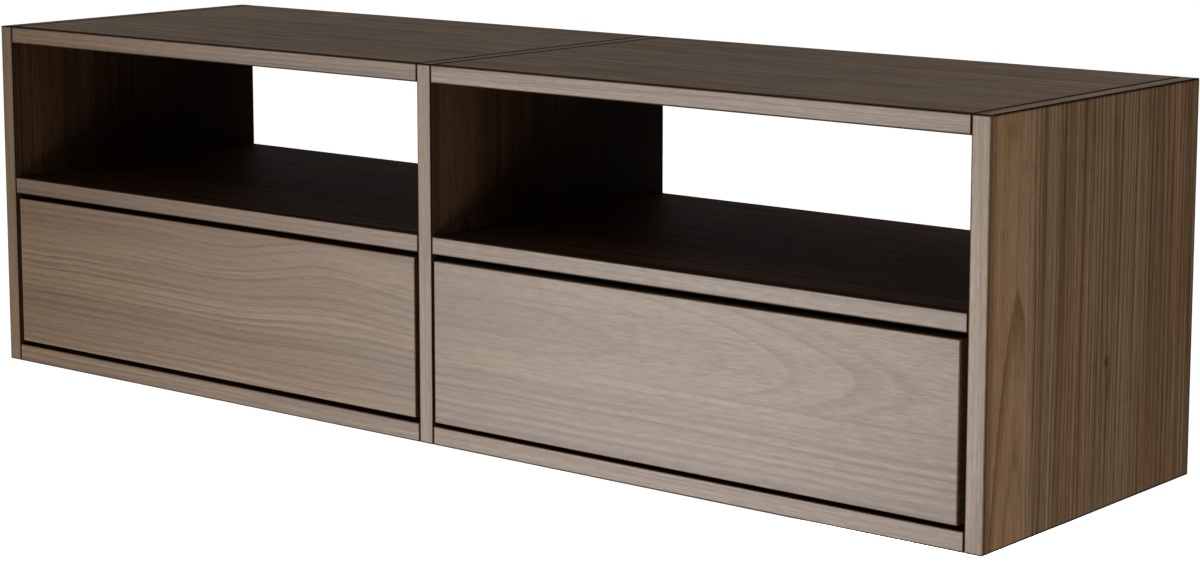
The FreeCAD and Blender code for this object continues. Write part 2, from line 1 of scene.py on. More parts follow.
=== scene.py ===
import math
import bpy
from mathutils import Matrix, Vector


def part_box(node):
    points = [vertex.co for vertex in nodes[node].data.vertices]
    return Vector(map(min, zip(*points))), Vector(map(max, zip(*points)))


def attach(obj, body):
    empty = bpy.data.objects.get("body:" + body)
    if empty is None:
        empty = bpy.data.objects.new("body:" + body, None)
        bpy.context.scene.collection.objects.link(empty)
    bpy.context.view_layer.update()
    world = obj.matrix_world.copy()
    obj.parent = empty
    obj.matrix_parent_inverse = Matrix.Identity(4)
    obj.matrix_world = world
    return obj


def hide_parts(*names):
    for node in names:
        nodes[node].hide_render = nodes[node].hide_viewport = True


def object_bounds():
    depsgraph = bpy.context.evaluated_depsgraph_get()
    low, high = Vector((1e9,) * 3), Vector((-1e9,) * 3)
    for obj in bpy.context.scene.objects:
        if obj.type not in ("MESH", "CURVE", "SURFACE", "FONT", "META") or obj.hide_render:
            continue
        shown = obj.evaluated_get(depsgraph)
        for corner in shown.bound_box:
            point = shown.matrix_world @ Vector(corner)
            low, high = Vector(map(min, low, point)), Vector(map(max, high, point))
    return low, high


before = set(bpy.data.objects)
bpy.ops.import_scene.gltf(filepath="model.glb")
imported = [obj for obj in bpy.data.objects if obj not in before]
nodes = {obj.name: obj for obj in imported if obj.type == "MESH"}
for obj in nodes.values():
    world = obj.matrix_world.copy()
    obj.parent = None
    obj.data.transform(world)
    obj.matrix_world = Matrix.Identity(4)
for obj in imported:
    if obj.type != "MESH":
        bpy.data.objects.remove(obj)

from types import SimpleNamespace

import bpy
from mathutils import Vector

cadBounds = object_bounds()
bays = ("left", "right")
sideLow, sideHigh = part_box("left_side_panel")
boardDepth = (sideLow.y, sideHigh.y)    # from the lippings' back to the wall


def wire(tree, socket, value):
    # a value is another node's output, or a plain number or colour
    if isinstance(value, bpy.types.NodeSocket):
        tree.links.new(value, socket)
    else:
        socket.default_value = value


def maths(tree, operation, first, second=0.0, third=0.0, clamp=False):
    node = tree.nodes.new("ShaderNodeMath")
    node.operation = operation
    node.use_clamp = clamp
    for socket, value in zip(node.inputs, (first, second, third)):
        wire(tree, socket, value)
    return node.outputs[0]


def squared(tree, value):
    return maths(tree, "MULTIPLY", value, value)


def between(tree, value, start, end):
    # 0 at start, 1 at end
    return maths(tree, "DIVIDE", maths(tree, "SUBTRACT", value, start), end - start, clamp=True)


def combined(tree, x, y, z):
    node = tree.nodes.new("ShaderNodeCombineXYZ")
    for socket, value in zip(node.inputs, (x, y, z)):
        wire(tree, socket, value)
    return node.outputs[0]


def separated(tree, vector):
    node = tree.nodes.new("ShaderNodeSeparateXYZ")
    wire(tree, node.inputs[0], vector)
    return node.outputs


def noise(tree, vector, detail=2.0, roughness=0.5):
    node = tree.nodes.new("ShaderNodeTexNoise")
    wire(tree, node.inputs["Vector"], vector)
    node.inputs["Scale"].default_value = 1.0
    node.inputs["Detail"].default_value = detail
    node.inputs["Roughness"].default_value = roughness
    node.inputs["Distortion"].default_value = 0.0
    return node.outputs["Fac"]


def ramp(tree, factor, stops, smooth=True):
    # stops: (place, grey level or colour)
    node = tree.nodes.new("ShaderNodeValToRGB")
    wire(tree, node.inputs[0], factor)
    band = node.color_ramp
    band.interpolation = "EASE" if smooth else "LINEAR"
    while len(band.elements) < len(stops):
        band.elements.new(0.5)
    for element, (place, level) in zip(band.elements, stops):
        element.position = place
        element.color = (*level, 1.0) if isinstance(level, tuple) else (level, level, level, 1.0)
    return node.outputs["Color"]


def mixed(tree, factor, first, second, blend="MIX"):
    node = tree.nodes.new("ShaderNodeMix")
    node.data_type = "RGBA"
    node.blend_type = blend
    wire(tree, node.inputs["Factor"], factor)
    for name, value in (("A", first), ("B", second)):
        socket = next(s for s in node.inputs if s.name == name and s.type == "RGBA")
        wire(tree, socket, (*value, 1.0) if isinstance(value, tuple) else value)
    return next(s for s in node.outputs if s.type == "RGBA")


def newMaterial(name):
    material = bpy.data.materials.new(name)
    material.use_nodes = True
    tree = material.node_tree
    tree.nodes.clear()
    shader = tree.nodes.new("ShaderNodeBsdfPrincipled")
    output = tree.nodes.new("ShaderNodeOutputMaterial")
    tree.links.new(shader.outputs["BSDF"], output.inputs["Surface"])
    return material, tree, shader


def objectPlace(tree):
    return separated(tree, tree.nodes.new("ShaderNodeTexCoord").outputs["Object"])


def stretchedNoise(tree, perMetre, detail=2.0):
    # noise with that many specks to the metre along x, y and z
    place = combined(tree, *(maths(tree, "MULTIPLY", part, many)
                             for part, many in zip(objectPlace(tree), perMetre)))
    return noise(tree, place, detail)


def faceNormal(tree):
    return separated(tree, tree.nodes.new("ShaderNodeNewGeometry").outputs["True Normal"])


def facing(tree):
    # how squarely a face looks along each axis, 0 to 1
    return [maths(tree, "ABSOLUTE", part) for part in faceNormal(tree)]


def arrisDistance(tree, box, flush):
    # how far a point on a board's faces lies from the nearest arris: the middle one of its
    # three distances from the board's own box, less the sides where it runs on flush
    distances = []
    for axis, part, low, high in zip("xyz", objectPlace(tree), *box):
        low -= 1.0 if (axis, -1) in flush else 0.0
        high += 1.0 if (axis, 1) in flush else 0.0
        distances.append(maths(tree, "MINIMUM", maths(tree, "SUBTRACT", part, low),
                               maths(tree, "SUBTRACT", high, part)))
    first, second, third = distances
    least = maths(tree, "MINIMUM", first, second)
    most = maths(tree, "MAXIMUM", first, second)
    return maths(tree, "MAXIMUM", least, maths(tree, "MINIMUM", most, third))


def addBump(tree, shader, height, distance, strength):
    bump = tree.nodes.new("ShaderNodeBump")
    bump.inputs["Strength"].default_value = strength
    bump.inputs["Distance"].default_value = distance
    wire(tree, bump.inputs["Height"], height)
    tree.links.new(bump.outputs["Normal"], shader.inputs["Normal"])


# sizes in metres, colours linear; grain is the axis the fibres run along
walnutLook = {
    "grain": "x",
    "seed": 0.0,
    "tone": 1.0,                        # lighter or darker leaf, as a share
    "fade": None,                       # painted light and shade along it, a change of tone: from, to, share at the start
    "sheenFade": None,                  # change of its sheen, in the same way; with lowArris only
    "deep": (0.120, 0.070, 0.040),
    "middle": (0.155, 0.092, 0.053),
    "pale": (0.190, 0.118, 0.070),
    "blush": (0.190, 0.095, 0.052),     # reddish heartwood bands
    "blushShare": 0.25,
    "bands": None,                      # bands from the front edge to the wall: place, colour; on the top boards, painted shade darker towards the wall
    # drift of the grain: over what length and width, and how far
    "sway": ((0.60, 0.12, 0.020), (0.15, 0.03, 0.004)),
    "swells": (),                       # (where along, how long, how far, from, to across)
    "arch": None,                       # where the years close into arches
    # years that show in the arches: distance from the heart, depth, fade inwards and outwards
    "archLines": (),
    "calm": None,                       # plain wood up to here across it, full figure from here
    "marks": (),                        # knots and stains: along, across, length, width, depth
    "bandWidth": 0.035,
    "yearWidth": 0.0060,
    "yearDepth": 0.20,
    "ringSpacing": 0.0070,              # the dark edge that closes each year
    "ringUneven": 2.5,
    "ringDepth": 0.22,
    "lineWidth": 0.0032,
    "lineDepth": 0.35,
    "paleDepth": 0.0,                   # fine pale lines between the dark ones
    "paleLine": (0.190, 0.140, 0.075),
    "fibreWidth": 0.0012,
    "fibreLength": 0.040,
    "fibreDepth": 0.16,
    "poreLength": 0.014,
    "poreWidth": 0.0010,
    "poreDepth": 0.35,
    "arrisPaintedLight": 0.06,                 # painted shade along the arrises and joints, as a share of the middle colour; above 1, a painted highlight
    "arrisWidth": 0.0014,
    "lowArris": False,                  # whether the sheen is gone there too
    "flush": (),                        # sides where the face runs on into the next board
    "sidesPaintedShade": None,                 # painted shade on a front's other faces, which are also dull, as a share of its colour
    "inside": (),                       # ways that the faces inside the bays look, which are given painted shade
    "insidePaintedShade": (0.40, 0.40),        # that painted shade, front and back, as a share of the outer faces' colour
    "insideShadeTint": (1.0, 0.86, 0.76),    # the painted shade's own hue
    "endTint": None,                    # colour of an upright's end faces
    "warmth": (0.86, 1.00, 1.10),       # how much red, green and blue a dark line takes away
    "roughness": (0.40, 0.52),
    "specular": 0.5,
    "relief": 0.4,
}


def makeLeaf(tree, look):
    # a veneer leaf: its axes along the grain and across it, and the run of its years
    x, y, z = objectPlace(tree)
    along, side, rise = x, y, z
    if look["grain"] == "z":
        # an upright, whose end faces are veneered front to back
        endFace = maths(tree, "GREATER_THAN", facing(tree)[2], 0.5)
        along, side, rise = mixedValue(tree, endFace, z, y), x, mixedValue(tree, endFace, y, z)
    drift = swayed(tree, look, along, side, rise)
    year = maths(tree, "ADD", rise, swollen(tree, look, along, rise, drift))
    lively = between(tree, year, *look["calm"]) if look["calm"] else 1.0
    return SimpleNamespace(tree=tree, look=look, along=along, side=side, rise=rise, drift=drift,
                           across=maths(tree, "ADD", side, drift), year=year, lively=lively)


def mixedValue(tree, factor, first, second):
    keep = maths(tree, "SUBTRACT", 1.0, factor)
    return maths(tree, "ADD", maths(tree, "MULTIPLY", first, keep), maths(tree, "MULTIPLY", second, factor))


def swayed(tree, look, along, side, rise):
    # the sideways drift of the fibres, slow and then finer
    total = 0.0
    for length, width, reach in look["sway"]:
        place = combined(tree, maths(tree, "MULTIPLY_ADD", along, 1 / length, look["seed"]),
                         maths(tree, "DIVIDE", side, width), maths(tree, "DIVIDE", rise, width))
        part = maths(tree, "MULTIPLY", maths(tree, "SUBTRACT", noise(tree, place, 1.0), 0.5), reach)
        total = maths(tree, "ADD", total, part)
    return total


def swollen(tree, look, along, rise, total):
    # the years bent further where they swell round a buried knot
    for at, length, reach, start, end in look["swells"]:
        away = maths(tree, "DIVIDE", maths(tree, "SUBTRACT", along, at), length)
        hump = maths(tree, "EXPONENT", maths(tree, "MULTIPLY", squared(tree, away), -1.0))
        part = maths(tree, "MULTIPLY", hump, between(tree, rise, start, end))
        total = maths(tree, "MULTIPLY_ADD", part, -reach, total)
    return total


def shownBy(leaf, least):
    # how much of a figure shows: plain wood shows that share of it
    return maths(leaf.tree, "MULTIPLY_ADD", leaf.lively, 1.0 - least, least)


def patterned(leaf, length, width, offset, detail, second, third):
    tree = leaf.tree
    first = maths(tree, "ADD", maths(tree, "DIVIDE", leaf.along, length), leaf.look["seed"] + offset)
    place = combined(tree, first, maths(tree, "DIVIDE", second, width), maths(tree, "DIVIDE", third, width))
    return noise(tree, place, detail, 0.6)


def figure(leaf, length, width, offset, detail=1.0):
    # shade that follows the years: each unit is that long and that wide
    return patterned(leaf, length, width, offset, detail, leaf.across, leaf.year)


def strands(leaf, length, width, offset, detail=1.0):
    # fibres lie straight in the board, whatever the years do
    return patterned(leaf, length, width, offset, detail, leaf.side, leaf.rise)


def browner(look, depth):
    # darker wood is also redder
    return tuple(1.0 - depth * part for part in look["warmth"])


def shaded(leaf, under, pattern, depth, low=0.32, high=0.68, share=1.0):
    # pattern darkens and lightens what lies under it by that share
    stops = ((low, browner(leaf.look, depth)), (0.5, browner(leaf.look, 0.0)),
             (high, browner(leaf.look, -depth * 0.6)))
    return mixed(leaf.tree, share, under, ramp(leaf.tree, pattern, stops, False), "MULTIPLY")


def darkened(leaf, colour, factor, depth):
    dark = mixed(leaf.tree, 1.0, colour, browner(leaf.look, depth), "MULTIPLY")
    return mixed(leaf.tree, factor, colour, dark)


def groundColour(leaf):
    # the leaf's slow change of colour, under its lines
    tree, look = leaf.tree, leaf.look
    colour = ramp(tree, figure(leaf, 1.4, look["bandWidth"], 1.3),
                  ((0.32, look["deep"]), (0.50, look["middle"]), (0.68, look["pale"])))
    if look["bands"]:
        bands = ramp(tree, between(tree, leaf.year, *boardDepth), look["bands"])
        colour = mixed(tree, 0.75, colour, bands)
    if look["endTint"]:
        endFace = maths(tree, "MULTIPLY", maths(tree, "GREATER_THAN", facing(tree)[2], 0.5), 0.85)
        colour = mixed(tree, endFace, colour, look["endTint"])
    blush = ramp(tree, figure(leaf, 1.1, look["bandWidth"] * 1.7, 11.0),
                 ((0.50, 0.0), (0.70, look["blushShare"])))
    return mixed(tree, blush, colour, look["blush"])


def withYears(leaf, colour):
    tree, look = leaf.tree, leaf.look
    years = figure(leaf, 0.9, look["yearWidth"], 4.1, 2.0)
    colour = shaded(leaf, colour, years, look["yearDepth"], share=shownBy(leaf, 0.35))
    # each year ends in a dark edge, and the next begins pale
    phase = maths(tree, "ADD", maths(tree, "DIVIDE", leaf.year, look["ringSpacing"]),
                  maths(tree, "MULTIPLY", figure(leaf, 0.50, 0.022, 21.0), look["ringUneven"]))
    levels = ((0.0, 1.0), (0.07, 0.0), (0.30, -0.35), (0.62, 0.0), (1.0, 1.0))
    ring = ramp(tree, maths(tree, "FRACT", phase),
                [(place, browner(look, look["ringDepth"] * level)) for place, level in levels], False)
    shown = separated(tree, ramp(tree, figure(leaf, 0.45, 0.030, 25.0), ((0.36, 0.25), (0.60, 1.0))))[0]
    shown = maths(tree, "MULTIPLY", shown, shownBy(leaf, 0.12))
    return mixed(tree, shown, colour, mixed(tree, 1.0, colour, ring, "MULTIPLY"))


def heartDistance(leaf, arch):
    # how far each point lies from the heart of the log; where the heart comes nearer the
    # face the years close into pointed arches
    tree, point = leaf.tree, arch["point"]
    depth = maths(tree, "MULTIPLY_ADD", maths(tree, "SUBTRACT", leaf.along, arch["tip"]),
                  arch["slope"], arch["depth"])
    deep = maths(tree, "POWER", maths(tree, "MAXIMUM", depth, 0.001), point)
    off = maths(tree, "SUBTRACT", leaf.rise, arch["centre"])
    above, below = arch["lean"]
    off = maths(tree, "MAXIMUM", maths(tree, "MULTIPLY", off, above), maths(tree, "MULTIPLY", off, -below))
    wide = maths(tree, "POWER", off, point)
    return maths(tree, "POWER", maths(tree, "ADD", deep, wide), 1 / point)


def withArches(leaf, colour):
    # the plain wood's few years, closed into arches
    tree, look = leaf.tree, leaf.look
    heart = maths(tree, "ADD", heartDistance(leaf, look["arch"]), leaf.drift)
    reach = look["archLines"][-1][0] + 0.03
    stops = [(0.0, browner(look, 0.0))]
    for at, depth, inwards, outwards in look["archLines"]:
        dark, pale = browner(look, depth), browner(look, -depth * 0.15)
        stops += [((at - inwards) / reach, pale), (at / reach, dark), ((at + outwards) / reach, pale)]
    stops.append((1.0, browner(look, 0.0)))
    arches = ramp(tree, maths(tree, "DIVIDE", heart, reach), stops, False)
    plain = maths(tree, "SUBTRACT", 1.0, leaf.lively)
    return mixed(tree, plain, colour, mixed(tree, 1.0, colour, arches, "MULTIPLY"))


def withMarks(leaf, colour):
    tree = leaf.tree
    for at, over, long, wide, depth in leaf.look["marks"]:
        first = maths(tree, "DIVIDE", maths(tree, "SUBTRACT", leaf.along, at), long)
        second = maths(tree, "DIVIDE", maths(tree, "SUBTRACT", leaf.year, over), wide)
        away = maths(tree, "MULTIPLY_ADD", first, first, squared(tree, second))
        near = maths(tree, "EXPONENT", maths(tree, "MULTIPLY", away, -1.0))
        colour = darkened(leaf, colour, near, depth)
    return colour


def withLines(leaf, colour):
    # fine dark lines, and pale ones between them
    tree, look = leaf.tree, leaf.look
    lines = ramp(tree, figure(leaf, 0.7, look["lineWidth"], 6.6), ((0.33, 1.0), (0.44, 0.0)))
    lines = maths(tree, "MULTIPLY", lines, shownBy(leaf, 0.30))
    colour = darkened(leaf, colour, maths(tree, "MULTIPLY", lines, look["lineDepth"]), 0.62)
    pale = ramp(tree, figure(leaf, 0.6, look["lineWidth"], 16.6), ((0.58, 0.0), (0.68, 1.0)))
    pale = maths(tree, "MULTIPLY", pale, shownBy(leaf, 0.10))
    return mixed(tree, maths(tree, "MULTIPLY", pale, look["paleDepth"]), colour, look["paleLine"])


def withBayShade(leaf, colour):
    # painted shade inside the bays, which darkens towards the wall
    tree, look = leaf.tree, leaf.look
    tints = [tuple(shade * part for part in look["insideShadeTint"]) for shade in look["insidePaintedShade"]]
    for axis, way in look["inside"]:
        looking = maths(tree, "MULTIPLY", faceNormal(tree)["xyz".index(axis)], way)
        bayShade = ramp(tree, between(tree, objectPlace(tree)[1], *boardDepth), list(enumerate(tints)))
        bayShaded = mixed(tree, 1.0, colour, bayShade, "MULTIPLY")
        colour = mixed(tree, maths(tree, "GREATER_THAN", looking, 0.5), colour, bayShaded)
    return colour


def faded(leaf, start, end, share):
    # that share at the start, and 1 from the end on
    done = between(leaf.tree, leaf.along, start, end)
    return maths(leaf.tree, "MULTIPLY_ADD", done, 1.0 - share, share)


def withTone(leaf, colour):
    tree, look = leaf.tree, leaf.look
    colour = mixed(tree, 1.0, colour, (look["tone"],) * 3, "MULTIPLY")
    # painted light and shade: the tone changes along the board
    if look["fade"]:
        colour = mixed(tree, 1.0, colour, faded(leaf, *look["fade"]), "MULTIPLY")
    return colour


def arrisLine(tree, look, box):
    # 1 on a board's arrises, fading to 0 within the line's width
    edge = maths(tree, "DIVIDE", arrisDistance(tree, box, look["flush"]), look["arrisWidth"])
    return maths(tree, "SUBTRACT", 1.0, maths(tree, "SUBTRACT", edge, 0.45, clamp=True), clamp=True)


def makeWalnut(name, box, **changes):
    look = {**walnutLook, **changes}
    material, tree, shader = newMaterial(name)
    leaf = makeLeaf(tree, look)
    colour = withYears(leaf, groundColour(leaf))
    if look["arch"]:
        colour = withArches(leaf, colour)
    colour = withLines(leaf, withMarks(leaf, colour))
    fibres = strands(leaf, look["fibreLength"], look["fibreWidth"], 7.7, 2.0)
    colour = shaded(leaf, colour, fibres, look["fibreDepth"], 0.30, 0.70)
    pores = ramp(tree, strands(leaf, look["poreLength"], look["poreWidth"], 2.9), ((0.30, 1.0), (0.40, 0.0)))
    colour = darkened(leaf, colour, maths(tree, "MULTIPLY", pores, look["poreDepth"]), 0.60)
    colour = withTone(leaf, withBayShade(leaf, colour))
    dull = edge = arrisLine(tree, look, box)
    # painted shade on the faces of a front piece that don't look forward
    if look["sidesPaintedShade"] is not None:
        paintedShadeFaces = maths(tree, "LESS_THAN", facing(tree)[1], 0.7)
        shade = mixed(tree, 1.0, colour, (look["sidesPaintedShade"],) * 3, "MULTIPLY")
        colour = mixed(tree, paintedShadeFaces, colour, shade)
        dull = maths(tree, "ADD", edge, paintedShadeFaces)
    # painted shade along the arrises and joints, or a painted highlight where the share is above 1
    colour = mixed(tree, edge, colour, tuple(level * look["arrisPaintedLight"] for level in look["middle"]))
    tree.links.new(colour, shader.inputs["Base Color"])

    low, high = look["roughness"]
    polish = separated(tree, ramp(tree, fibres, ((0.3, high), (0.7, low))))[0]
    rough = maths(tree, "MINIMUM", maths(tree, "MULTIPLY_ADD", dull, 0.6, polish), 0.98)
    tree.links.new(rough, shader.inputs["Roughness"])
    specular = shader.inputs["Specular IOR Level"]
    specular.default_value = look["specular"]
    if look["lowArris"]:
        glossy = maths(tree, "SUBTRACT", 1.0, dull, clamp=True)
        sheen = maths(tree, "MULTIPLY_ADD", glossy, look["specular"] * 0.95, look["specular"] * 0.05)
        if look["sheenFade"]:
            sheen = maths(tree, "MULTIPLY", sheen, faded(leaf, *look["sheenFade"]))
        tree.links.new(sheen, specular)
    sunk = maths(tree, "MULTIPLY", pores, 0.8)
    relief = maths(tree, "SUBTRACT", maths(tree, "MULTIPLY", fibres, 0.6), sunk)
    addBump(tree, shader, relief, 0.00010, look["relief"])
    return material


plyPair = 0.0028                        # thickness of two plies


def makePlywood(name, thin, birch=(0.62, 0.47, 0.30), glue=(0.22, 0.14, 0.08), seed=0.0):
    # thin: the axis through the board, along which its plies are stacked
    material, tree, shader = newMaterial(name)
    x, y, z = objectPlace(tree)
    through = {"x": x, "y": y, "z": z}[thin]
    grain = y if thin == "x" else x
    other = z if thin != "z" else y
    fibres = noise(tree, combined(tree, maths(tree, "MULTIPLY_ADD", grain, 14.0, seed),
                                  maths(tree, "MULTIPLY", other, 320.0),
                                  maths(tree, "MULTIPLY", through, 320.0)), 3.0, 0.6)
    clouds = noise(tree, combined(tree, maths(tree, "MULTIPLY_ADD", grain, 5.0, seed),
                                  maths(tree, "MULTIPLY", other, 16.0), seed), 2.0)
    pale = tuple(min(1.0, level * 1.12) for level in birch)
    face = ramp(tree, clouds, ((0.32, birch), (0.68, pale)))
    face = mixed(tree, 0.55, face, ramp(tree, fibres, ((0.3, 0.72), (0.7, 1.1)), False), "MULTIPLY")
    # every other ply shows its end grain
    ply = maths(tree, "FRACT", maths(tree, "DIVIDE", through, plyPair))
    edge = ramp(tree, ply, ((0.0, birch), (0.44, birch), (0.5, glue), (0.56, glue),
                            (0.62, pale), (1.0, pale)))
    edge = mixed(tree, 0.5, edge, ramp(tree, fibres, ((0.35, 0.6), (0.65, 1.1)), False), "MULTIPLY")
    squareOn = facing(tree)["xyz".index(thin)]
    colour = mixed(tree, maths(tree, "LESS_THAN", squareOn, 0.5), face, edge)
    tree.links.new(colour, shader.inputs["Base Color"])
    tree.links.new(ramp(tree, fibres, ((0.3, 0.62), (0.7, 0.48))), shader.inputs["Roughness"])
    shader.inputs["Specular IOR Level"].default_value = 0.35
    addBump(tree, shader, fibres, 0.00015, 0.4)
    return material


def makeBeech():
    material, tree, shader = newMaterial("sawnBeech")
    flecks = stretchedNoise(tree, (120.0, 900.0, 900.0))
    tree.links.new(ramp(tree, flecks, ((0.35, (0.42, 0.25, 0.13)), (0.6, (0.62, 0.42, 0.25)))),
                   shader.inputs["Base Color"])
    tree.links.new(ramp(tree, flecks, ((0.3, 0.7), (0.7, 0.55))), shader.inputs["Roughness"])
    addBump(tree, shader, flecks, 0.0001, 0.4)
    return material


# plating: its darker and lighter colour, its roughness from and to
slideZinc = ((0.27, 0.28, 0.29), (0.40, 0.41, 0.42), (0.42, 0.54))
cageZinc = ((0.32, 0.32, 0.32), (0.45, 0.45, 0.44), (0.40, 0.52))
screwZinc = ((0.55, 0.52, 0.44), (0.70, 0.68, 0.62), (0.22, 0.34))
ballChrome = ((0.60, 0.60, 0.60), (0.72, 0.72, 0.72), (0.08, 0.14))


def makeZinc(name, shade, sheen, roughness):
    # plated steel: rolled along Y, with faint drawing marks and a cloudy passivation
    material, tree, shader = newMaterial(name)
    marks = stretchedNoise(tree, (1400.0, 14.0, 1400.0))
    clouds = stretchedNoise(tree, (90.0, 30.0, 90.0), 3.0)
    tree.links.new(ramp(tree, clouds, ((0.3, shade), (0.7, sheen))), shader.inputs["Base Color"])
    low, high = roughness
    tree.links.new(ramp(tree, marks, ((0.3, low), (0.7, high))), shader.inputs["Roughness"])
    shader.inputs["Metallic"].default_value = 1.0
    addBump(tree, shader, marks, 0.00004, 0.4)
    return material


def makePlastic(name, low, high):
    material, tree, shader = newMaterial(name)
    spark = stretchedNoise(tree, (2600.0, 2600.0, 2600.0))
    flow = stretchedNoise(tree, (60.0, 25.0, 60.0))
    tree.links.new(ramp(tree, flow, ((0.35, low), (0.65, high))), shader.inputs["Base Color"])
    tree.links.new(ramp(tree, spark, ((0.3, 0.42), (0.7, 0.58))), shader.inputs["Roughness"])
    addBump(tree, shader, spark, 0.00008, 0.5)
    return material


def dress(node, material):
    for slot in nodes[node].material_slots:
        slot.material = material


frontTones = {
    "deep": (0.098, 0.059, 0.031), "middle": (0.132, 0.080, 0.042), "pale": (0.163, 0.104, 0.058),
    "blushShare": 0.12, "yearWidth": 0.0045, "yearDepth": 0.24, "lineDepth": 0.50, "lineWidth": 0.0028,
    "poreDepth": 0.38, "fibreDepth": 0.27, "fibreLength": 0.017, "fibreWidth": 0.0014,
    "roughness": (0.36, 0.41), "relief": 0.15, "ringDepth": 0.38, "sidesPaintedShade": 0.50, "specular": 0.40,
    "lowArris": True, "warmth": (0.64, 0.90, 1.32),
}
sideTones = {
    "grain": "z", "blushShare": 0.35, "arrisWidth": 0.0020, "specular": 0.02, "roughness": (0.50, 0.62),
    "yearDepth": 0.28, "lineDepth": 0.75, "lineWidth": 0.0034, "paleDepth": 0.55, "fibreDepth": 0.24,
    "poreDepth": 0.50, "fibreLength": 0.030, "fibreWidth": 0.0018, "ringSpacing": 0.0078,
    "ringDepth": 0.45, "ringUneven": 1.5, "sway": ((0.80, 0.12, 0.012), (0.18, 0.03, 0.0025)),
    "endTint": (0.100, 0.067, 0.041), "warmth": (0.86, 1.02, 1.36),
    "bands": (
        (0.012, (0.090, 0.050, 0.027)), (0.028, (0.205, 0.122, 0.067)), (0.16, (0.190, 0.116, 0.065)),
        (0.20, (0.120, 0.076, 0.041)), (0.28, (0.150, 0.102, 0.055)), (0.32, (0.098, 0.058, 0.029)),
        (0.46, (0.086, 0.050, 0.025)), (0.51, (0.125, 0.086, 0.048)), (0.63, (0.115, 0.077, 0.042)),
        (0.70, (0.125, 0.077, 0.041)), (0.76, (0.076, 0.044, 0.021)), (1.00, (0.072, 0.041, 0.019)),
    ),
}
levelTones = {
    "deep": (0.085, 0.054, 0.032), "middle": (0.105, 0.069, 0.042), "pale": (0.125, 0.085, 0.054),
    "blushShare": 0.10, "specular": 0.02, "roughness": (0.55, 0.70), "lineDepth": 0.70, "yearDepth": 0.38,
    "ringDepth": 0.46, "arrisWidth": 0.0032, "warmth": (0.80, 1.00, 1.36),
    "fibreDepth": 0.25, "fibreLength": 0.06, "poreDepth": 0.5,
}


archedSide = {
    "arch": {"tip": 0.130, "centre": -0.346, "slope": 0.14, "depth": 0.052,
             "point": 1.5, "lean": (1.0, 1.0)},
    "archLines": ((0.030, 0.22, 0.003, 0.004), (0.052, 0.45, 0.010, 0.0012)),
    "calm": (-0.336, -0.329),
}
quietSide = {"ringDepth": 0.20, "lineDepth": 0.40, "paleDepth": 0.15, "specular": 0.01}
# upright: the sides that look into a bay, its outer side, its lipping's look, its own look
uprights = {
    "left_side": ((("x", 1),), (("x", -1),), {"tone": 0.58, "specular": 0.22},
                  {**quietSide, "insidePaintedShade": (0.36, 0.10)}),
    "centre_divider": ((("x", 1), ("x", -1)), (), {"tone": 0.76},
                       {**archedSide, **quietSide, "insidePaintedShade": (0.44, 0.06), "arrisWidth": 0.0030}),
    "right_side": ((("x", -1),), (("x", 1),), {"tone": 0.93},
                   {**archedSide, "marks": ((0.043, -0.1766, 0.006, 0.0045, 0.75),
                                            (0.020, -0.172, 0.022, 0.003, 0.45),
                                            (0.290, -0.360, 0.016, 0.010, 0.30))}),
}
# the top boards are painted darker towards the wall: painted shade
topFront, topShadedBack = (0.108, 0.071, 0.043), (0.066, 0.043, 0.025)
# level board: the side that looks into a bay, its own look
levels = {
    "top_panel": (("z", -1), {"bands": ((0.0, topFront), (0.45, topFront), (1.0, topShadedBack))}),
    "shelf": (("z", 1), {"specular": 0.003, "insidePaintedShade": (0.42, 0.42), "insideShadeTint": (1.0, 0.70, 0.62)}),
    "bottom_panel": (("z", 1), {}),
}
# how a single board's leaf differs; its fade is painted light and shade along it
leafChanges = {
    "left_top_panel": {"tone": 1.10, "fade": (-0.70, -0.35, 1.60)},
    "right_top_panel": {"fade": (0.72, 0.40, 1.55)},
    "left_shelf": {"fade": (-0.62, 0.0, 0.35)},
    "right_shelf": {"fade": (0.02, 0.40, 0.35)},
}
# tones of the top, shelf and bottom lippings, and the painted light and shade that fades along them
lippingTones = {"left": (0.68, 0.76, 0.71), "right": (0.80, 0.76, 0.84)}
lippingFades = {"left": {"fade": (-0.66, -0.28, 0.85), "sheenFade": (-0.69, -0.36, 0.56)}, "right": {}}
# a painted highlight along the drawer fronts' arrises
frontEdge = {"arrisPaintedLight": 1.4, "arrisWidth": 0.0007}
# each drawer front's fade is painted light and shade along it
wavyFront = {
    **frontEdge, "sway": ((0.50, 0.20, 0.012), (0.12, 0.04, 0.004)),
    "tone": 0.765, "fade": (-0.66, -0.26, 0.78), "specular": 0.376, "sheenFade": (-0.69, -0.38, 0.58),
    "deep": (0.116, 0.069, 0.034), "pale": (0.156, 0.099, 0.055),
    "ringSpacing": 0.0082, "ringUneven": 1.8, "ringDepth": 0.46, "lineDepth": 0.54,
    "swells": ((-0.143, 0.120, 0.017, -0.05, 0.06), (-0.310, 0.090, -0.006, -0.05, 0.05)),
}
archedFront = {
    **frontEdge, "sway": ((0.40, 0.20, 0.008), (0.09, 0.03, 0.003)),
    "tone": 0.91, "fade": (0.0, 0.45, 0.84), "deep": (0.112, 0.068, 0.036), "pale": (0.148, 0.092, 0.050),
    "yearWidth": 0.0050, "yearDepth": 0.32, "ringSpacing": 0.0098, "ringUneven": 0.9, "ringDepth": 0.46,
    "calm": (0.010, 0.002),
    "arch": {"tip": 0.5705, "centre": 0.038, "slope": 0.17, "depth": 0.080,
             "point": 1.75, "lean": (1.0, 1.2)},
    "archLines": ((0.028, 0.26, 0.004, 0.003), (0.0516, 0.20, 0.006, 0.001), (0.0668, 0.36, 0.001, 0.004),
                  (0.080, 0.48, 0.001, 0.007), (0.0896, 0.38, 0.0035, 0.004)),
}


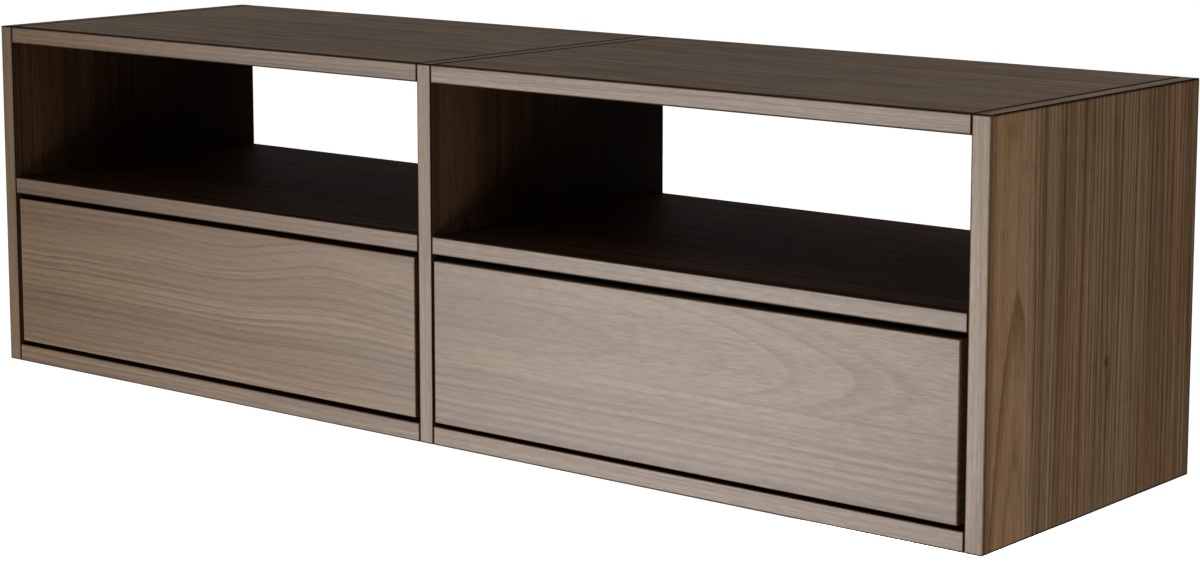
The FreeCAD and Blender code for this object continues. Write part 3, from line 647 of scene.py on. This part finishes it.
def dressWalnut(node, name, seed, tones, **changes):
    dress(node, makeWalnut(name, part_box(node), seed=seed, **{**tones, **changes}))


def dressUprights():
    for index, (name, (inside, outer, lippingLook, ownLook)) in enumerate(uprights.items()):
        panel = name if name == "centre_divider" else name + "_panel"
        dressWalnut(panel, name + "Walnut", 2.0 + index * 5.3, sideTones, inside=inside,
                    flush=(("y", -1),), **ownLook)
        dressWalnut(name + "_lipping", name + "LippingWalnut", 31.0 + index * 4.1, frontTones, grain="z",
                    flush=(("y", 1), *outer), **lippingLook)


def dressLevels():
    for bayIndex, bay in enumerate(bays):
        for index, (level, (inside, ownLook)) in enumerate(levels.items()):
            board = f"{bay}_{level}"
            seed = 50.0 + bayIndex * 17.0 + index * 6.1
            dressWalnut(board, board + "_walnut", seed, levelTones, inside=(inside,),
                        **leafChanges.get(board, {}), **ownLook)
            lipping = board.replace("_panel", "") + "_lipping"
            # the arris under a drawer front catches the light
            clean = (("z", 1),) if level == "bottom_panel" else ()
            dressWalnut(lipping, lipping + "_walnut", seed + 2.2, frontTones, flush=clean,
                        tone=lippingTones[bay][index], **lippingFades[bay])
        dressWalnut(f"{bay}_back_panel", f"{bay}_back_walnut", 90.0 + bayIndex * 3.3, levelTones)


def dressDrawers():
    dressWalnut("left_drawer_front", "wavyFront", 120.0, frontTones, **wavyFront)
    dressWalnut("right_drawer_front", "archedFront", 140.0, frontTones, **archedFront)
    thin = {"box_front": "y", "back": "y", "left_side": "x", "right_side": "x", "bottom": "z"}
    for piece, axis in thin.items():
        material = makePlywood("birch_" + piece, axis, seed=len(piece) * 1.7)
        for bay in bays:
            dress(f"{bay}_drawer_{piece}", material)


def dressHardware():
    slide = makeZinc("slideZinc", *slideZinc)
    cage = makeZinc("cageZinc", *cageZinc)
    screw = makeZinc("screwZinc", *screwZinc)
    cleat = makePlywood("cleatPlywood", "y", birch=(0.52, 0.38, 0.24), seed=9.0)
    body = makePlastic("latchBody", (0.018, 0.018, 0.018), (0.030, 0.030, 0.030))
    tip = makePlastic("latchTip", (0.35, 0.35, 0.35), (0.42, 0.42, 0.42))
    dress("carcass_tenons", makeBeech())
    for bay in bays:
        for hand in bays:
            for member in ("outer", "middle", "inner"):
                dress(f"{bay}_drawer_{hand}_slide_{member}_member", slide)
        for row in ("outer", "inner"):
            dress(f"{bay}_drawer_{row}_ball_cages", cage)
        dress(f"{bay}_drawer_front_screws", screw)
        dress(f"{bay}_cabinet_cleat", cleat)
        dress(f"{bay}_wall_cleat", cleat)
        dress(f"{bay}_latch_housing", body)
        dress(f"{bay}_latch_plunger", tip)


screwLook = {
    "head": 0.0032,                     # radius
    "headDepth": 0.0022,
    "rim": 0.0002,                      # depth of the head's bevel, and of its rim below that
    "faceShare": 0.94,                  # the head's face inside the bevel, as a share of its radius
    "shank": 0.00175,
    "pitch": 0.0014,
    "root": 0.72,                       # the thread's root, as a share of the shank
    "tip": 0.0040,                      # length of the point
    "tipShare": 0.08,                   # its end, as a share of the shank
    "slotLength": 0.0017,               # half the cross recess
    "slotWidth": 0.00035,
    "slotDepth": 0.0014,
    "slotTaper": 0.45,                  # its floor, as a share of its mouth
}


def nothingSelected():
    if bpy.context.object and bpy.context.object.mode != "OBJECT":
        bpy.ops.object.mode_set(mode="OBJECT")
    bpy.ops.object.select_all(action="DESELECT")


def selectOnly(piece):
    nothingSelected()
    piece.select_set(True)
    bpy.context.view_layer.objects.active = piece


def extruded(length, scale):
    # the selected end of a round bar drawn down by that length and swaged to that scale
    bpy.ops.mesh.extrude_region_move(TRANSFORM_OT_translate={"value": (0.0, 0.0, -length)})
    bpy.ops.transform.resize(value=(scale, scale, 1.0))


def makeScrew(length):
    # countersunk, cross-recessed, pointing down from its head's face at the origin
    look = screwLook
    nothingSelected()
    bpy.ops.mesh.primitive_circle_add(vertices=24, radius=look["head"] * look["faceShare"],
                                      fill_type="NGON")
    screw = bpy.context.object
    bpy.ops.object.mode_set(mode="EDIT")
    bpy.ops.mesh.select_all(action="SELECT")
    extruded(look["rim"], 1 / look["faceShare"])
    extruded(look["rim"], 1.0)
    extruded(look["headDepth"] - 2 * look["rim"], look["shank"] / look["head"])
    straight = length - look["headDepth"] - look["tip"]
    turns = max(2, int(straight / look["pitch"]))
    for _ in range(turns):
        # the thread, ring by ring
        extruded(straight / turns / 2, look["root"])
        extruded(straight / turns / 2, 1 / look["root"])
    extruded(look["tip"], look["tipShare"])
    bpy.ops.mesh.select_all(action="SELECT")
    bpy.ops.mesh.normals_make_consistent(inside=False)
    bpy.ops.object.mode_set(mode="OBJECT")
    for turned in (0.0, math.pi / 2):
        cutSlot(screw, turned)
    selectOnly(screw)
    bpy.ops.object.shade_smooth_by_angle(angle=math.radians(35))
    return screw


def cutSlot(screw, turned):
    # one arm of the cross recess, which narrows towards its floor
    look = screwLook
    nothingSelected()
    bpy.ops.mesh.primitive_cube_add(size=2, location=(0.0, 0.0, 0.0), rotation=(0.0, 0.0, turned))
    punch = bpy.context.object
    bpy.ops.object.mode_set(mode="EDIT")
    bpy.ops.mesh.select_all(action="SELECT")
    bpy.ops.transform.resize(value=(look["slotLength"], look["slotWidth"], look["slotDepth"]),
                             orient_type="LOCAL")
    bpy.ops.mesh.select_all(action="DESELECT")
    bpy.ops.object.mode_set(mode="OBJECT")
    for face in punch.data.polygons:
        face.select = face.normal.z < -0.5
    bpy.ops.object.mode_set(mode="EDIT")
    bpy.ops.transform.resize(value=(look["slotTaper"], look["slotTaper"], 1.0))
    selectOnly(screw)
    cut = screw.modifiers.new("recess", "BOOLEAN")
    cut.operation = "DIFFERENCE"
    cut.object = punch
    bpy.ops.object.modifier_apply(modifier=cut.name)
    bpy.data.objects.remove(punch)


def gathered(master, name, places, material, body):
    # a copy of the master at each (place, way it points), joined into one piece
    copies = []
    for place, heading in places:
        copy = master.copy()
        copy.data = master.data.copy()
        bpy.context.scene.collection.objects.link(copy)
        copy.location = place
        copy.rotation_euler = Vector(heading).to_track_quat("-Z", "Y").to_euler()
        copies.append(copy)
    nothingSelected()
    for copy in copies:
        copy.select_set(True)
    bpy.context.view_layer.objects.active = copies[0]
    bpy.ops.object.transform_apply(location=True, rotation=True, scale=True)
    bpy.ops.object.join()
    piece = bpy.context.object
    piece.name = name
    piece.data.name = name
    piece.data.materials.clear()
    piece.data.materials.append(material)
    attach(piece, body)
    return piece


def halfway(low, high, axis):
    index = "xyz".index(axis)
    return (low[index] + high[index]) / 2


def slideSides(bay):
    # for a bay's two slides: the carcass wall's plane, the way that it faces, the slide's box
    for hand, sign in (("left", 1), ("right", -1)):
        low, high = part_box(f"{bay}_drawer_{hand}_slide_outer_member")
        yield (low.x if sign > 0 else high.x), sign, low, high


fixingLook = {
    "panelScrew": 0.025,                # lengths
    "slideScrew": 0.014,
    "proud": 0.0001,                    # how far a head's face stands out of the board
    "slidePlaces": (0.14, 0.82),        # along the outer member, as a share
    "carcassHead": 0.0011,              # from the carcass wall to the face of a slide screw's head
    "drawerHead": 0.0112,
    "drawerShift": 0.006,               # how far the drawer's slide screws sit towards the front
    "cleatReach": 0.20,                 # from the bay's middle
    "latchReach": 0.017,                # from the latch's middle
    "latchHead": 0.0031,                # from the back panel to the face of a latch screw's head
}


def setFrontScrews(bay, screw, metal):
    node = f"{bay}_drawer_front_screws"
    low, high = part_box(node)
    face, rise, head = high.y + fixingLook["proud"], halfway(low, high, "z"), screwLook["head"]
    places = [((x, face, rise), (0, -1, 0)) for x in (low.x + head, high.x - head)]
    piece = gathered(screw, f"{bay}_front_fixing_screws", places, metal, f"{bay}_drawer")
    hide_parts(node)


def setSlideScrews(bay, screw, metal):
    look = fixingLook
    inCarcass, inDrawer = [], []
    for wall, sign, low, high in slideSides(bay):
        rise = halfway(low, high, "z")
        for share in look["slidePlaces"]:
            y = low.y + share * (high.y - low.y)
            inCarcass.append(((wall + sign * look["carcassHead"], y, rise), (-sign, 0, 0)))
            inDrawer.append(((wall + sign * look["drawerHead"], y - look["drawerShift"], rise), (sign, 0, 0)))
    gathered(screw, f"{bay}_carcass_slide_screws", inCarcass, metal, "cabinet")
    gathered(screw, f"{bay}_drawer_slide_screws", inDrawer, metal, f"{bay}_drawer")


def setBackScrews(bay, cleatScrew, latchScrew, metal):
    look = fixingLook
    low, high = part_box(f"{bay}_back_panel")
    centre = halfway(low, high, "x")
    rise = halfway(*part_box(f"{bay}_cabinet_cleat"), "z")
    places = [((centre + side * look["cleatReach"], low.y - look["proud"], rise), (0, 1, 0))
              for side in (-1, 1)]
    gathered(cleatScrew, f"{bay}_cleat_screws", places, metal, "cabinet")
    rise = halfway(*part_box(f"{bay}_latch_housing"), "z")
    places = [((centre, low.y - look["latchHead"], rise + side * look["latchReach"]), (0, 1, 0))
              for side in (-1, 1)]
    gathered(latchScrew, f"{bay}_latch_screws", places, metal, "cabinet")


def makeFixings(metal):
    panelScrew, slideScrew = makeScrew(fixingLook["panelScrew"]), makeScrew(fixingLook["slideScrew"])
    for bay in bays:
        setFrontScrews(bay, panelScrew, metal)
        setSlideScrews(bay, slideScrew, metal)
        setBackScrews(bay, panelScrew, slideScrew, metal)
    for master in (panelScrew, slideScrew):
        bpy.data.objects.remove(master)


ballLook = {
    "radius": 0.0020,
    "along": (-0.0405, -0.0135, 0.0135, 0.0405),    # from the cage's middle
    # row: distance from the carcass wall, and from the slide's middle
    "outer": (0.00585, 0.01945),
    "inner": (0.00785, 0.01435),
}


def makeBalls(metal):
    nothingSelected()
    bpy.ops.mesh.primitive_ico_sphere_add(subdivisions=2, radius=ballLook["radius"])
    ball = bpy.context.object
    bpy.ops.object.mode_set(mode="EDIT")
    bpy.ops.mesh.select_all(action="SELECT")
    bpy.ops.mesh.subdivide(number_cuts=1)
    bpy.ops.transform.tosphere(value=1.0)
    bpy.ops.object.mode_set(mode="OBJECT")
    bpy.ops.object.shade_smooth()
    for bay in bays:
        for row in ("outer", "inner"):
            cageMiddle = halfway(*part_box(f"{bay}_drawer_{row}_ball_cages"), "y")
            out, rise = ballLook[row]
            places = [((wall + sign * out, cageMiddle + along, halfway(low, high, "z") + side * rise),
                       (0, 0, -1))
                      for wall, sign, low, high in slideSides(bay)
                      for along in ballLook["along"] for side in (-1, 1)]
            gathered(ball, f"{bay}_{row}_bearing_balls", places, metal, f"{bay}_{row}_cages")
    bpy.data.objects.remove(ball)


roomLook = {
    "hang": 1.10,                       # underside above the floor
    "floorSize": 60.0,
    "floorColour": (0.80, 0.80, 0.79),
    "floorGlow": (0.80, 0.99),          # added to the floor for the background's rays, near and far
    "glowReach": 3.0,                   # how far out the glow grows
    "fill": 0.06,                       # the world's light
    "aim": (0.0, -0.3, 0.1),            # where the lamps point
    # lamp: place, width and height, power
    "lamps": {
        "sheen": ((-0.89, -2.30, -0.42), (1.2, 1.35), 51.0),
        "glow": ((-1.75, -2.30, 0.27), (0.7, 0.5), 4.5),
        "front": ((1.60, -2.20, -0.85), (0.9, 0.7), 16.5),
        "side": ((2.60, -0.30, 0.20), (0.9, 0.9), 20.5),
        "above": ((0.25, -0.38, 1.40), (3.0, 0.5), 9.8),
        "behind": ((-2.20, 2.80, -0.75), (1.6, 0.7), 110.0),
    },
}


def unlitRays(path, tree):
    # 1 for the rays that show the background: to the camera, off gloss and through glass
    seen = maths(tree, "MAXIMUM", path.outputs["Is Camera Ray"], path.outputs["Is Glossy Ray"])
    return maths(tree, "MAXIMUM", seen, path.outputs["Is Transmission Ray"])


def makeFloor():
    nothingSelected()
    bpy.ops.mesh.primitive_plane_add(size=roomLook["floorSize"],
                                     location=(0, 0, cadBounds[0].z - roomLook["hang"]))
    floor = bpy.context.object
    floor.name = "floor"
    material, tree, shader = newMaterial("paleFloor")
    shader.inputs["Base Color"].default_value = (*roomLook["floorColour"], 1.0)
    shader.inputs["Roughness"].default_value = 0.9
    shader.inputs["Specular IOR Level"].default_value = 0.1
    path = tree.nodes.new("ShaderNodeLightPath")
    behind = tree.nodes.new("ShaderNodeNewGeometry").outputs["Backfacing"]
    x, y = objectPlace(tree)[:2]
    near, far = roomLook["floorGlow"]
    away = maths(tree, "SQRT", maths(tree, "MULTIPLY_ADD", x, x, squared(tree, y)))
    spread = maths(tree, "MULTIPLY_ADD", away, (far - near) / roomLook["glowReach"], near)
    glow = maths(tree, "MULTIPLY", unlitRays(path, tree), maths(tree, "MINIMUM", spread, far))
    shader.inputs["Emission Color"].default_value = (1.0, 1.0, 1.0, 1.0)
    tree.links.new(glow, shader.inputs["Emission Strength"])
    clear = tree.nodes.new("ShaderNodeBsdfTransparent")
    either = tree.nodes.new("ShaderNodeMixShader")
    output = next(node for node in tree.nodes if node.type == "OUTPUT_MATERIAL")
    tree.links.new(behind, either.inputs[0])
    tree.links.new(shader.outputs["BSDF"], either.inputs[1])
    tree.links.new(clear.outputs[0], either.inputs[2])
    tree.links.new(either.outputs[0], output.inputs["Surface"])
    floor.data.materials.append(material)


def makeWorld():
    world = bpy.data.worlds.new("room")
    bpy.context.scene.world = world
    world.use_nodes = True
    tree = world.node_tree
    background = next(node for node in tree.nodes if node.type == "BACKGROUND")
    background.inputs["Color"].default_value = (1.0, 1.0, 1.0, 1.0)
    path = tree.nodes.new("ShaderNodeLightPath")
    extra = maths(tree, "MULTIPLY", unlitRays(path, tree), 1.0 - roomLook["fill"])
    tree.links.new(maths(tree, "ADD", extra, roomLook["fill"]), background.inputs["Strength"])


def makeLamps():
    for name, (place, size, power) in roomLook["lamps"].items():
        lamp = bpy.data.lights.new(name, "AREA")
        lamp.shape = "RECTANGLE"
        lamp.size, lamp.size_y = size
        lamp.energy = power
        holder = bpy.data.objects.new(name, lamp)
        bpy.context.scene.collection.objects.link(holder)
        holder.location = place
        holder.rotation_euler = (Vector(roomLook["aim"]) - Vector(place)).to_track_quat("-Z", "Y").to_euler()
        holder.visible_camera = False


cameraLook = {
    "lens": 84.84,
    "sensor": 36.0,
    "shift": -0.09,
    "place": (2.0389, -2.5865, 0.6220),
    "down": 8.236,                      # degrees below level
    "turn": 39.405,                     # degrees about the vertical
}


def makeCamera():
    look = cameraLook
    camera = bpy.data.cameras.new("camera")
    camera.sensor_width = look["sensor"]
    camera.lens = look["lens"]
    camera.shift_y = look["shift"]
    holder = bpy.data.objects.new("camera", camera)
    bpy.context.scene.collection.objects.link(holder)
    holder.location = look["place"]
    holder.rotation_euler = (math.radians(90.0 - look["down"]), 0.0, math.radians(look["turn"]))
    bpy.context.scene.camera = holder


makeCamera()
dressUprights()
dressLevels()
dressDrawers()
dressHardware()
print("solids dressed")
makeFixings(makeZinc("fixingZinc", *screwZinc))
makeBalls(makeZinc("ballChrome", *ballChrome))
print("screws driven and bearing balls set")
makeFloor()
makeWorld()
makeLamps()
bpy.context.scene.view_settings.view_transform = "Standard"
print("room lit")
